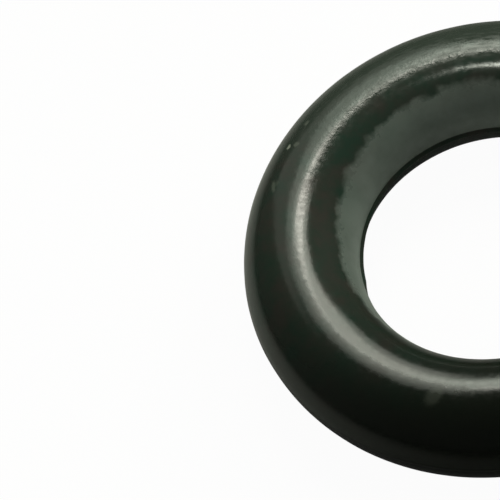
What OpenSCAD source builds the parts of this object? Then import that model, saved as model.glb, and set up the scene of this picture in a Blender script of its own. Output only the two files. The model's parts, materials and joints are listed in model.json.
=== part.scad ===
// O-ring: one moulded rubber ring of round section, lying flat.
// Origin at the centre of the circle on which it rests, +Z along the ring's axis.

/* [Ring] */
// Diameter of the hole, across the round section
inside_d = 7; // [4:0.1:30]
// Diameter of the round section
section_d = 3; // [1.5:0.05:8]

/* [Parting line] */
// How far the trimmed flash stands into the hole
inner_flash = 0.08; // [0.02:0.01:0.2]
// How far the trimmed flash stands out of the rim
outer_flash = 0.03; // [0.02:0.01:0.2]
// Thickness of the flash at its trimmed edge
flash_land = 0.1; // [0.04:0.01:0.16]
// Thickness of the flash at its root
flash_root = 0.24; // [0.2:0.01:0.4]
// Depth of the flash's root inside the round wall
root_depth = 0.1; // [0.05:0.01:0.2]

/* [Hidden] */
$fn = 128;

section_r = section_d / 2;
// Radius of the circle that the section's centre follows
centre_r = inside_d / 2 + section_r;

// The parting plane's flash, as one strip across the section that tapers at both ends
module flash() {
    root_x = section_r - root_depth;
    polygon([
        [-section_r - inner_flash, -flash_land / 2],
        [-root_x, -flash_root / 2],
        [root_x, -flash_root / 2],
        [section_r + outer_flash, -flash_land / 2],
        [section_r + outer_flash, flash_land / 2],
        [root_x, flash_root / 2],
        [-root_x, flash_root / 2],
        [-section_r - inner_flash, flash_land / 2],
    ]);
}

// The moulded section: round, with the flash at mid height
module section() {
    circle(r = section_r);
    flash();
}

module o_ring() {
    color([0.11, 0.13, 0.11])
        translate([0, 0, section_r])
            rotate_extrude()
                translate([centre_r, 0])
                    section();
}

o_ring();
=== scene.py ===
import json
import math

import bpy
import numpy as np
from mathutils import Matrix, Vector, noise


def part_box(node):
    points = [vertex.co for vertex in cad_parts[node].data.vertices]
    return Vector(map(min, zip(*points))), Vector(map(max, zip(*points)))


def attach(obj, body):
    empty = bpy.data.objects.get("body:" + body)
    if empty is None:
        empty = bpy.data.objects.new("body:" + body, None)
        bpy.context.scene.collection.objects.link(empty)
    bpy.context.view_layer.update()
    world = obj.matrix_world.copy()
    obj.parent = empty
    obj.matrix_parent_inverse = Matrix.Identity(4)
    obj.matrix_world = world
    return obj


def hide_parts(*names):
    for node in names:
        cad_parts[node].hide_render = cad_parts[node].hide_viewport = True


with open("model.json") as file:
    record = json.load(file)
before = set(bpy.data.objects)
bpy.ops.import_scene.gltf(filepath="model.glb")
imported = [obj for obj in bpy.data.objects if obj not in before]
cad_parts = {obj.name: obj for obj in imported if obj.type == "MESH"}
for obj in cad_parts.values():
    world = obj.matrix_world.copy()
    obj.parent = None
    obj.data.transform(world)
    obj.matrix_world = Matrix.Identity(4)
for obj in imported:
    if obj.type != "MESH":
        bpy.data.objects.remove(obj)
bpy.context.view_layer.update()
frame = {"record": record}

mm = 0.001
fullTurn = 2 * math.pi
scene = bpy.context.scene
scene.view_settings.view_transform = "Standard"


def linearColour(hexColour):
    channels = [int(hexColour[i:i + 2], 16) / 255 for i in (0, 2, 4)]
    return [c / 12.92 if c <= 0.04045 else ((c + 0.055) / 1.055) ** 2.4 for c in channels] + [1.0]


# sockets go by name, or by number where a node has several of one name
def addNode(tree, kind, inputs=None, **settings):
    node = tree.nodes.new(kind)
    for name, value in settings.items():
        setattr(node, name, value)
    for socket, value in (inputs or {}).items():
        if isinstance(value, bpy.types.NodeSocket):
            tree.links.new(value, node.inputs[socket])
        else:
            node.inputs[socket].default_value = value
    return node


def emptyMaterial(name):
    material = bpy.data.materials.new(name)
    material.use_nodes = True
    material.node_tree.nodes.clear()
    return material, material.node_tree


def placePiece(name, data):
    piece = bpy.data.objects.new(name, data)
    scene.collection.objects.link(piece)
    return piece


ring = {
    "insideDiameter": 7 * mm,
    "stepsAround": 540, "stepsOfSection": 150,
    "flashLand": 0.04 * mm,         # thickness of the flash at its edge
    "flashRoot": 0.11 * mm,         # and where it leaves the round wall
    "flashFoot": 1.5,               # reach of the mesh's extra steps there, in roots
    "flashStands": (20, 179),       # degrees round the hole where it was left standing
    "flashTaper": 7,                # degrees over which it runs out
    "flashStub": 0.12,              # share of its height that is left elsewhere
    "rimFlash": 0.3,                # and round the rim, which was trimmed closer
    "trimLength": 0.55 * mm, "trimUneven": 0.12,
    "waveDepth": 0.006 * mm, "waveLength": 0.8 * mm,        # the mould's hand polish
    "peelDepth": 0.0016 * mm, "peelLength": 0.17 * mm,      # and the fine peel of the rubber
    # nicks: degrees round the ring and round the section, length, width and depth in mm,
    # turn in degrees, and how pale the torn rubber is
    "nicks": (
        (139.45, 56.1, 0.083, 0.055, 0.012, 11, 0.8),
        (138.5, 64.5, 0.095, 0.078, 0.004, 88, 0.2),
        (131.6, 58.5, 0.087, 0.06, 0.006, 0, 0.22),
        (151.6, 59.3, 0.2, 0.065, 0.004, 25, 0.2),
        (150.8, 62.3, 0.09, 0.08, 0.002, 85, 0.1),
        (241.3, 80.6, 0.32, 0.19, 0.004, 70, 0.085),
    ),
}

lowCorner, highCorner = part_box("o_ring")
sectionRadius = (highCorner.z - lowCorner.z) / 2
boreRadius = frame["record"]["mounts"][0]["dims"]["r_mm"] * mm      # inside the flash
centreRadius = ring["insideDiameter"] / 2 + sectionRadius
innerFlash = ring["insideDiameter"] / 2 - boreRadius
outerFlash = (highCorner.x - centreRadius - sectionRadius) * ring["rimFlash"]
landAngle = ring["flashLand"] / 2 / sectionRadius
rootAngle = ring["flashRoot"] / 2 / sectionRadius


def sectionAngles():
    # even steps round the section, with the flash's corners set in at the rim and at the hole
    step = fullTurn / ring["stepsOfSection"]
    even = np.arange(ring["stepsOfSection"]) * step
    foot = ring["flashFoot"] * rootAngle
    corners = np.array([-foot, -rootAngle, -landAngle, 0, landAngle, rootAngle, foot])
    clear = even[np.abs(np.sin(even)) > math.sin(foot + step / 2)]
    return np.sort(np.concatenate([clear, corners % fullTurn, corners + math.pi]))


def ringPoints(around, section, radius):
    reach = centreRadius + radius * np.cos(section)
    return np.stack([reach * np.cos(around), reach * np.sin(around),
                     sectionRadius + radius * np.sin(section)], axis=-1)


def unevenness(points, length):
    # 0 to 1, in soft lumps of about this length
    return np.array([0.5 + 0.5 * noise.noise(Vector(p) / length) for p in points])


def flashRise(around, section):
    degrees = np.degrees(around)
    first, last = ring["flashStands"]
    risen = np.clip((degrees - first) / ring["flashTaper"], 0, 1)
    standing = risen * np.clip((last - degrees) / ring["flashTaper"] + 1, 0, 1)
    share = ring["flashStub"] + (1 - ring["flashStub"]) * standing
    atHole = np.clip((rootAngle - np.abs(section - math.pi)) / (rootAngle - landAngle), 0, 1)
    fromRim = np.minimum(section, fullTurn - section)
    atRim = np.clip((rootAngle - fromRim) / (rootAngle - landAngle), 0, 1)
    centreLine = ringPoints(around[:, 0], 0 * around[:, 0], 0 * around[:, 0])
    trimmed = 1 - ring["trimUneven"] * unevenness(centreLine, ring["trimLength"])
    return (innerFlash * share * atHole + outerFlash * atRim) * trimmed[:, None]


def nickDepth(around, section):
    depth = np.zeros(around.shape)
    for aroundAt, sectionAt, length, width, deep, turn, _ in ring["nicks"]:
        a, s, t = math.radians(aroundAt), math.radians(sectionAt), math.radians(turn)
        along = (around - a) * (centreRadius + sectionRadius * math.cos(s)) / mm
        across = (section - s) * sectionRadius / mm
        onLength = along * math.cos(t) + across * math.sin(t)
        onWidth = across * math.cos(t) - along * math.sin(t)
        depth += deep * mm * np.exp(-(onLength / length) ** 2 - (onWidth / width) ** 2)
    return depth


def mouldRing():
    around, section = np.meshgrid(np.arange(ring["stepsAround"]) * fullTurn / ring["stepsAround"],
                                  sectionAngles(), indexing="ij")
    radius = sectionRadius + flashRise(around, section)
    points = ringPoints(around, section, radius).reshape(-1, 3)
    # the surface only sinks below the true round, so the ring keeps its size
    sink = ring["waveDepth"] * unevenness(points, ring["waveLength"])
    sink += ring["peelDepth"] * unevenness(points, ring["peelLength"])
    points = ringPoints(around, section, radius - sink.reshape(around.shape) - nickDepth(around, section))

    index = np.arange(around.size).reshape(around.shape)
    aside, above = np.roll(index, -1, axis=0), np.roll(index, -1, axis=1)
    faces = np.stack([index, aside, np.roll(aside, -1, axis=1), above], axis=-1).reshape(-1, 4)
    mesh = bpy.data.meshes.new("oRing")
    mesh.from_pydata(points.reshape(-1, 3).tolist(), [], faces.tolist())
    mesh.polygons.foreach_set("use_smooth", np.ones(len(faces), dtype=bool))

    # the wrap runs in mm along the ring and round its section, for the finish
    nextAround = around + fullTurn / ring["stepsAround"]
    nextSection = np.roll(section, -1, axis=1)
    nextSection[:, -1] += fullTurn
    corners = ((around, section), (nextAround, section), (nextAround, nextSection), (around, nextSection))
    wrap = np.stack([np.stack([a * centreRadius / mm, s * sectionRadius / mm], axis=-1)
                     for a, s in corners], axis=2)
    mesh.uv_layers.new(name="wrap").data.foreach_set("uv", wrap.reshape(-1))
    return placePiece("oRing", mesh)


# Moulded nitrile rubber: pressed in a hand-polished steel mould, so its skin is nearly black, with faint green
# and brown patches and a low, slightly grainy gloss. The front is painted darker, as painted shade, and
# handling rubbed a stretch of its top dull. The top of the back is worn, so it glints in streaks, and is paler
# there, partly from wear and partly as painted light. Round the hole a dull grey-green bloom lies on the wall,
# down to the parting line.
# Lengths are in mm and angles in degrees. A gloss is a roughness, and a spread is the part of a noise in use.
rubber = {
    "greenSkin": "24352c", "brownSkin": "33332e", "skinPatch": 0.8, "skinSpread": (0.34, 0.66),
    "frontShadeSkin": "0f140d", "frontShadeSide": (-6.3, 1.2),        # towards the back, from the painted shade in front to the patches
    "ior": 1.52, "gloss": (0.11, 0.21), "glossPatch": 0.14, "glossSpread": (0.3, 0.7),
    "frontSide": (-3.5, 0), "frontGloss": 0.03,             # towards the back: the front is a little duller
    "rubbedAround": 210, "rubbedOut": (3.3, 4.6),           # the rubbed stretch, round the ring and outwards
    "rubbedTop": 89, "rubbedReach": (3, 8), "rubbedGloss": 0.18,    # and round the section
    # the top of the back: worn gloss in streaks, and a paler colour that is partly wear and partly painted
    # light
    "wearAndPaintedLightSide": (3.2, 4.6), "wearAndPaintedLightEnds": (94, 101),          # towards the back, and round the section
    "wornPaintedLightSkin": "323a33", "wornGloss": (0.09, 0.34),
    "streak": (0.35, 0.09), "streakSpread": (0.35, 0.65),   # along the ring and across it
    "bloom": "7e8882", "bloomGloss": 0.42,
    "bloomFrom": 139.5, "bloomTilt": 15, "bloomTo": 177,    # round the section, and higher at the back
    "bloomRagged": 0.56, "bloomPatch": 0.4, "bloomEdge": 0.11, "bloomLine": 0.015,
    "bloomThin": 0.76, "bloomCloud": 0.6, "cloudSpread": (0.35, 0.65),
    "bloomDeepens": (0.45, 1.0),        # share left at the upper edge, and the length over which it thickens
    "scuff": "8f9488", "scuffGloss": 0.5, "tornWidth": 0.05, "tornShift": 0.08,
    "tornEdge": (0.5, 1.3),             # shares of a nick's size over which it fades
    # the mould's own grit is finer, and is drawn this coarse so that it shows
    "grainHeight": 0.006, "grainWidth": 0.15, "pitHeight": 0.0028, "pitWidth": 0.06,
    "grainStrength": (0.24, 0.75),      # on the smooth skin, and where it is worn
}


def rubberMaterial():
    material, tree = emptyMaterial("moulded nitrile rubber")
    place = addNode(tree, "ShaderNodeTexCoord").outputs["Object"]
    inMm = addNode(tree, "ShaderNodeVectorMath", {0: place, "Scale": 1 / mm}, operation="SCALE").outputs[0]
    wrap = addNode(tree, "ShaderNodeUVMap", uv_map="wrap").outputs["UV"]
    roundSection = addNode(tree, "ShaderNodeSeparateXYZ", {0: wrap}).outputs["Y"]
    toBack = addNode(tree, "ShaderNodeSeparateXYZ", {0: inMm}).outputs["Y"]
    degree = math.radians(1) * sectionRadius / mm       # in mm round the section

    # skin: green-black and brown-black patches, and a front darkened as painted shade
    patch = addNode(tree, "ShaderNodeTexNoise", {
        "Vector": inMm, "Scale": 1 / rubber["skinPatch"], "Detail": 4.0, "Roughness": 0.6}).outputs["Fac"]
    low, high = rubber["skinSpread"]
    patchShare = addNode(tree, "ShaderNodeMapRange", {0: patch, 1: low, 2: high}).outputs[0]
    patchedSkin = addNode(tree, "ShaderNodeMix", {
        0: patchShare, 6: linearColour(rubber["greenSkin"]), 7: linearColour(rubber["brownSkin"])},
        data_type="RGBA").outputs[2]
    # painted shade: the front is painted near black, darkest at the front and gone towards the back
    shadeDeepest, shadeGone = rubber["frontShadeSide"]
    beyondFrontShade = addNode(tree, "ShaderNodeMapRange", {
        0: toBack, 1: shadeDeepest, 2: shadeGone}, interpolation_type="SMOOTHSTEP").outputs[0]
    smooth = addNode(tree, "ShaderNodeMix", {
        0: beyondFrontShade, 6: linearColour(rubber["frontShadeSkin"]), 7: patchedSkin}, data_type="RGBA").outputs[2]

    # gloss: uneven in small patches, duller in front, and dullest on the rubbed stretch
    sheen = addNode(tree, "ShaderNodeTexNoise", {
        "Vector": inMm, "Scale": 1 / rubber["glossPatch"], "Detail": 3.0}).outputs["Fac"]
    low, high = rubber["glossSpread"]
    bright, dull = rubber["gloss"]
    mouldGloss = addNode(tree, "ShaderNodeMapRange", {
        0: sheen, 1: low, 2: high, 3: bright, 4: dull}).outputs[0]
    near, far = rubber["frontSide"]
    inFront = addNode(tree, "ShaderNodeMapRange", {
        0: toBack, 1: near, 2: far, 3: rubber["frontGloss"], 4: 0.0}).outputs[0]
    handled = addNode(tree, "ShaderNodeMath", {0: mouldGloss, 1: inFront}, operation="ADD").outputs[0]
    around = math.radians(rubber["rubbedAround"])
    outwards = addNode(tree, "ShaderNodeVectorMath", {
        0: inMm, 1: (math.cos(around), math.sin(around), 0)}, operation="DOT_PRODUCT").outputs["Value"]
    near, far = rubber["rubbedOut"]
    stretchGloss = addNode(tree, "ShaderNodeMapRange", {
        0: outwards, 1: near, 2: far, 3: 0.0, 4: rubber["rubbedGloss"]},
        interpolation_type="SMOOTHSTEP").outputs[0]
    fromTop = addNode(tree, "ShaderNodeMath", {
        0: roundSection, 1: rubber["rubbedTop"] * degree}, operation="SUBTRACT").outputs[0]
    besideTop = addNode(tree, "ShaderNodeMath", {0: fromTop}, operation="ABSOLUTE").outputs[0]
    near, far = rubber["rubbedReach"]
    rubbed = addNode(tree, "ShaderNodeMapRange", {
        0: besideTop, 1: near * degree, 2: far * degree, 3: stretchGloss, 4: 0.0}).outputs[0]
    evenGloss = addNode(tree, "ShaderNodeMath", {0: handled, 1: rubbed}, operation="ADD").outputs[0]

    # wear and painted light: the top of the back is painted paler, partly from wear and partly as painted
    # light, and its worn gloss is uneven in streaks along the ring
    near, far = rubber["wearAndPaintedLightSide"]
    atBack = addNode(tree, "ShaderNodeMapRange", {0: toBack, 1: near, 2: far}).outputs[0]
    near, far = rubber["wearAndPaintedLightEnds"]
    wearAndPaintedLight = addNode(tree, "ShaderNodeMapRange", {
        0: roundSection, 1: near * degree, 2: far * degree, 3: atBack, 4: 0.0}).outputs[0]
    drawn = addNode(tree, "ShaderNodeVectorMath", {
        0: wrap, 1: [1 / length for length in rubber["streak"]] + [1]}, operation="MULTIPLY").outputs[0]
    streaks = addNode(tree, "ShaderNodeTexNoise", {"Vector": drawn, "Scale": 1.0, "Detail": 3.0}).outputs["Fac"]
    low, high = rubber["streakSpread"]
    bright, dull = rubber["wornGloss"]
    wornGloss = addNode(tree, "ShaderNodeMapRange", {
        0: streaks, 1: low, 2: high, 3: bright, 4: dull}).outputs[0]
    skin = addNode(tree, "ShaderNodeMix", {
        0: wearAndPaintedLight, 6: smooth, 7: linearColour(rubber["wornPaintedLightSkin"])}, data_type="RGBA").outputs[2]
    skinGloss = addNode(tree, "ShaderNodeMix", {
        0: wearAndPaintedLight, 2: evenGloss, 3: wornGloss}, data_type="FLOAT").outputs[0]

    # bloom: a ragged upper edge on the wall, and a clean lower one at the parting line
    ragged = addNode(tree, "ShaderNodeTexNoise", {
        "Vector": inMm, "Scale": 1 / rubber["bloomPatch"], "Detail": 5.0, "Roughness": 0.5}).outputs["Fac"]
    tilt = rubber["bloomTilt"] * degree / (ring["insideDiameter"] / 2 / mm)
    tilted = addNode(tree, "ShaderNodeMath", {
        0: toBack, 1: tilt, 2: roundSection}, operation="MULTIPLY_ADD").outputs[0]
    shifted = addNode(tree, "ShaderNodeMath", {
        0: ragged, 1: rubber["bloomRagged"], 2: tilted}, operation="MULTIPLY_ADD").outputs[0]
    start = rubber["bloomFrom"] * degree
    middle = start + rubber["bloomRagged"] / 2
    upper = addNode(tree, "ShaderNodeMapRange", {
        0: shifted, 1: middle - rubber["bloomEdge"], 2: middle + rubber["bloomEdge"]},
        interpolation_type="SMOOTHSTEP").outputs[0]
    clouds = addNode(tree, "ShaderNodeTexNoise", {
        "Vector": inMm, "Scale": 1 / rubber["bloomCloud"], "Detail": 4.0, "Roughness": 0.6}).outputs["Fac"]
    low, high = rubber["cloudSpread"]
    thick = addNode(tree, "ShaderNodeMapRange", {
        0: clouds, 1: low, 2: high, 3: rubber["bloomThin"], 4: 1.0}).outputs[0]
    edgeShare, thickensOver = rubber["bloomDeepens"]
    deep = addNode(tree, "ShaderNodeMapRange", {
        0: tilted, 1: start, 2: start + thickensOver, 3: edgeShare, 4: 1.0}).outputs[0]
    layer = addNode(tree, "ShaderNodeMath", {0: upper, 1: deep}, operation="MULTIPLY").outputs[0]
    dense = addNode(tree, "ShaderNodeMath", {0: layer, 1: thick}, operation="MULTIPLY").outputs[0]
    stop = rubber["bloomTo"] * degree
    bloom = addNode(tree, "ShaderNodeMapRange", {
        0: roundSection, 1: stop - rubber["bloomLine"], 2: stop + rubber["bloomLine"],
        3: dense, 4: 0.0}).outputs[0]
    dusted = addNode(tree, "ShaderNodeMix", {
        0: bloom, 6: skin, 7: linearColour(rubber["bloom"])}, data_type="RGBA").outputs[2]
    dustedGloss = addNode(tree, "ShaderNodeMix", {
        0: bloom, 2: skinGloss, 3: rubber["bloomGloss"]}, data_type="FLOAT").outputs[0]

    # scuffs: the pale torn rubber in the nicks, with ragged edges
    torn = addNode(tree, "ShaderNodeTexNoise", {
        "Vector": inMm, "Scale": 1 / rubber["tornWidth"], "Detail": 2.0}).outputs["Color"]
    tornShift = rubber["tornShift"]
    tornWrap = addNode(tree, "ShaderNodeVectorMath", {
        0: torn, 1: (tornShift, tornShift, 0), 2: wrap}, operation="MULTIPLY_ADD").outputs[0]
    near, far = rubber["tornEdge"]
    scuff = 0.0
    for aroundAt, sectionAt, length, width, _, turn, pale in ring["nicks"]:
        a, s = math.radians(aroundAt), math.radians(sectionAt)
        stretch = centreRadius / (centreRadius + sectionRadius * math.cos(s))
        inNick = addNode(tree, "ShaderNodeMapping", {
            "Vector": tornWrap,
            "Location": (a * centreRadius / mm + tornShift / 2, s * sectionRadius / mm + tornShift / 2, 0),
            "Rotation": (0, 0, math.radians(turn)),
            "Scale": (length * stretch, width, 1)}, vector_type="TEXTURE").outputs[0]
        fromMiddle = addNode(tree, "ShaderNodeVectorMath", {0: inNick}, operation="LENGTH").outputs["Value"]
        nick = addNode(tree, "ShaderNodeMapRange", {
            0: fromMiddle, 1: near, 2: far, 3: pale, 4: 0.0}, interpolation_type="SMOOTHSTEP").outputs[0]
        scuff = addNode(tree, "ShaderNodeMath", {0: scuff, 1: nick}, operation="MAXIMUM").outputs[0]
    colour = addNode(tree, "ShaderNodeMix", {
        0: scuff, 6: dusted, 7: linearColour(rubber["scuff"])}, data_type="RGBA").outputs[2]
    gloss = addNode(tree, "ShaderNodeMix", {
        0: scuff, 2: dustedGloss, 3: rubber["scuffGloss"]}, data_type="FLOAT").outputs[0]

    # grain: the mould's grain, and finer pits in it
    grain = addNode(tree, "ShaderNodeTexNoise", {
        "Vector": inMm, "Scale": 1 / rubber["grainWidth"], "Detail": 2.0}).outputs["Fac"]
    pits = addNode(tree, "ShaderNodeTexNoise", {
        "Vector": inMm, "Scale": 1 / rubber["pitWidth"], "Detail": 2.0}).outputs["Fac"]
    height = addNode(tree, "ShaderNodeMath", {
        0: pits, 1: rubber["pitHeight"] / rubber["grainHeight"], 2: grain}, operation="MULTIPLY_ADD").outputs[0]
    faint, strong = rubber["grainStrength"]
    coarse = addNode(tree, "ShaderNodeMapRange", {0: wearAndPaintedLight, 3: faint, 4: strong}).outputs[0]
    relief = addNode(tree, "ShaderNodeBump", {
        "Height": height, "Strength": coarse, "Distance": rubber["grainHeight"] * mm}).outputs[0]

    shader = addNode(tree, "ShaderNodeBsdfPrincipled", {
        "Base Color": colour, "Roughness": gloss, "IOR": rubber["ior"], "Normal": relief})
    addNode(tree, "ShaderNodeOutputMaterial", {"Surface": shader.outputs[0]})
    return material


oRing = mouldRing()
oRing.data.materials.append(rubberMaterial())
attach(oRing, "root")
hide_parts("o_ring")
oRing.cycles.shadow_terminator_geometry_offset = 0.2    # keeps low light smooth on the facets
print("ring moulded:", len(oRing.data.polygons), "faces")

# Pale drawing paper: matt and white to the camera. Where the rubber mirrors it, it is a dimmer grey painted as
# a pool of light beside the ring, fading to black further off as painted shade.
paper = {
    "size": 0.8, "colour": "f4f4f2",
    "whiteToCamera": 0.965, "whiteInGloss": 0.02,       # share that shows as plain white
    "mirrored": "b0b0ae",
    "paintedPool": (-8, 3.5), "paintedPoolReach": (1, 17.5),          # mm: the pool of light painted beside the ring, seen only in the gloss
}


def paperMaterial():
    material, tree = emptyMaterial("pale drawing paper")
    ray = addNode(tree, "ShaderNodeLightPath").outputs
    place = addNode(tree, "ShaderNodeTexCoord").outputs["Object"]
    # painted light and shade for the gloss: grey paper near the ring's left, fading to black further off
    away = addNode(tree, "ShaderNodeVectorMath", {
        0: place, 1: [c * mm for c in paper["paintedPool"]] + [0]}, operation="DISTANCE").outputs["Value"]
    near, far = paper["paintedPoolReach"]
    outsidePaintedPool = addNode(tree, "ShaderNodeMapRange", {
        0: away, 1: near * mm, 2: far * mm}, interpolation_type="SMOOTHSTEP").outputs[0]
    paintedPoolTone = addNode(tree, "ShaderNodeMix", {
        0: outsidePaintedPool, 6: linearColour(paper["mirrored"]), 7: (0, 0, 0, 1)}, data_type="RGBA").outputs[2]
    tone = addNode(tree, "ShaderNodeMix", {
        0: ray["Is Glossy Ray"], 6: linearColour(paper["colour"]), 7: paintedPoolTone}, data_type="RGBA").outputs[2]
    matt = addNode(tree, "ShaderNodeBsdfDiffuse", {"Color": tone}).outputs[0]
    white = addNode(tree, "ShaderNodeEmission", {"Color": (1, 1, 1, 1), "Strength": 1.0}).outputs[0]
    inGloss = addNode(tree, "ShaderNodeMath", {
        0: ray["Is Glossy Ray"], 1: ray["Is Transmission Ray"]}, operation="ADD").outputs[0]
    glossShare = addNode(tree, "ShaderNodeMath", {
        0: inGloss, 1: paper["whiteInGloss"]}, operation="MULTIPLY").outputs[0]
    share = addNode(tree, "ShaderNodeMath", {
        0: ray["Is Camera Ray"], 1: paper["whiteToCamera"], 2: glossShare}, operation="MULTIPLY_ADD").outputs[0]
    mixed = addNode(tree, "ShaderNodeMixShader", {0: share, 1: matt, 2: white}).outputs[0]
    addNode(tree, "ShaderNodeOutputMaterial", {"Surface": mixed})
    return material


def layPaper():
    half = paper["size"] / 2
    corners = [(-half, -half, 0), (half, -half, 0), (half, half, 0), (-half, half, 0)]
    mesh = bpy.data.meshes.new("floor")
    mesh.from_pydata(corners, [], [(0, 1, 2, 3)])
    mesh.materials.append(paperMaterial())
    return placePiece("floor", mesh)


layPaper()
print("floor laid")

# Lamps: where each stands from the ring, its width and height, and how bright its face is.
lamps = {
    "softbox": {"azimuth": 75.2, "elevation": 50.2, "distance": 0.4, "size": (0.182, 0.173),
                "radiance": 3.1, "colour": "f4ffed"},
    "sideBox": {"azimuth": 67.5, "elevation": 49.5, "distance": 0.41, "size": (0.14, 0.178),
                "radiance": 2.5, "colour": "fff8ea"},
    "topBar": {"azimuth": 76, "elevation": 59.9, "distance": 0.42, "size": (0.103, 0.038),
               "radiance": 10.0, "colour": "fffaee"},
    "leftSpill": {"azimuth": 97, "elevation": 42.5, "distance": 0.42, "size": (0.125, 0.22),
                  "radiance": 1.6, "colour": "f0ffec"},
    "nearGlint": {"azimuth": 84.5, "elevation": 46.5, "distance": 0.41, "size": (0.045, 0.06),
                  "radiance": 2.6, "colour": "fffaee"},
    "farSpill": {"azimuth": 108, "elevation": 36, "distance": 0.43, "size": (0.255, 0.34), "radiance": 0.45},
    "rightSpill": {"azimuth": 69, "elevation": 32.5, "distance": 0.42, "size": (0.16, 0.088), "radiance": 2.2},
    # two fills that the gloss doesn't mirror
    "fill": {"azimuth": 30, "elevation": 30, "distance": 0.5, "size": (0.3, 0.3),
             "radiance": 6.0, "inGloss": False},
    "frontFill": {"azimuth": -140, "elevation": 35, "distance": 0.5, "size": (0.3, 0.3),
                  "radiance": 0.8, "inGloss": False},
    # a small lamp close above, aimed in mm, with a grid that keeps it on the back of the ring
    "topLight": {"azimuth": 116, "elevation": 76.8, "distance": 0.0235, "size": (0.0024, 0.0024),
                 "radiance": 33.0, "aim": (0, 7, 3), "grid": 50},
}
lampColour = "fbfff0"
openLamp = 180      # degrees that a lamp without a grid spreads
roomTone = 0.04     # of the unlit room that the rubber mirrors


def hangLamp(name, lamp):
    light = bpy.data.lights.new(name, "AREA")
    light.shape = "RECTANGLE"
    light.size, light.size_y = lamp["size"]
    halfGrid = math.radians(lamp.get("grid", openLamp)) / 2
    light.spread = 2 * halfGrid
    # a grid narrows the light without changing its power, so the power is set for the same brightness
    light.energy = lamp["radiance"] * math.pi * light.size * light.size_y * (1 - halfGrid / math.tan(halfGrid))
    light.color = linearColour(lamp.get("colour", lampColour))[:3]
    a, e = math.radians(lamp["azimuth"]), math.radians(lamp["elevation"])
    towards = Vector((math.cos(a) * math.cos(e), math.sin(a) * math.cos(e), math.sin(e)))
    piece = placePiece(name, light)
    piece.location = lamp["distance"] * towards
    fromAim = piece.location - Vector(lamp.get("aim", (0, 0, 0))) * mm
    piece.rotation_euler = fromAim.to_track_quat("Z", "Y").to_euler()
    piece.visible_glossy = lamp.get("inGloss", True)
    piece.visible_camera = False


for name, lamp in lamps.items():
    hangLamp(name, lamp)

room = bpy.data.worlds.new("dim room")
room.use_nodes = True
room.node_tree.nodes.clear()
seen = addNode(room.node_tree, "ShaderNodeLightPath").outputs["Is Camera Ray"]
dim = addNode(room.node_tree, "ShaderNodeBackground", {"Color": [roomTone] * 3 + [1]}).outputs[0]
white = addNode(room.node_tree, "ShaderNodeBackground", {"Color": (1, 1, 1, 1)}).outputs[0]
either = addNode(room.node_tree, "ShaderNodeMixShader", {0: seen, 1: dim, 2: white}).outputs[0]
addNode(room.node_tree, "ShaderNodeOutputWorld", {"Surface": either})
scene.world = room
print("lamps hung:", len(lamps))

# View: the photograph's angle, with the ring's centre at its place in the picture.
view = {
    "elevation": 58.47, "roll": -15.55, "distance": 0.25, "imageSize": 500,
    "ringCentre": (496.9, 246.9), "pixelsPerRadius": 196.7, "sensor": 36, "nearestSeen": 0.01,
}


def placeCamera():
    e, roll = math.radians(view["elevation"]), math.radians(view["roll"])
    back = Vector((0, -math.cos(e), math.sin(e)))
    side = Vector((1, 0, 0))
    up = back.cross(side)
    side, up = side * math.cos(roll) + up * math.sin(roll), up * math.cos(roll) - side * math.sin(roll)
    focal = view["pixelsPerRadius"] * view["distance"] / centreRadius      # in pixels
    half = view["imageSize"] / 2
    x, y = view["ringCentre"]
    toRing = Vector((x - half, half - y, -focal)).normalized()
    turn = Vector((0, 0, -1)).rotation_difference(toRing).to_matrix()
    axes = Matrix((side, up, back)).transposed() @ turn.transposed()
    camera = bpy.data.cameras.new("camera")
    camera.sensor_width = view["sensor"]
    camera.lens = focal / view["imageSize"] * view["sensor"]
    camera.clip_start = view["nearestSeen"]
    place = Vector((0, 0, sectionRadius)) + back * view["distance"]
    piece = placePiece("camera", camera)
    piece.matrix_world = Matrix.Translation(place) @ axes.to_4x4()
    scene.camera = piece


placeCamera()
print("camera placed")
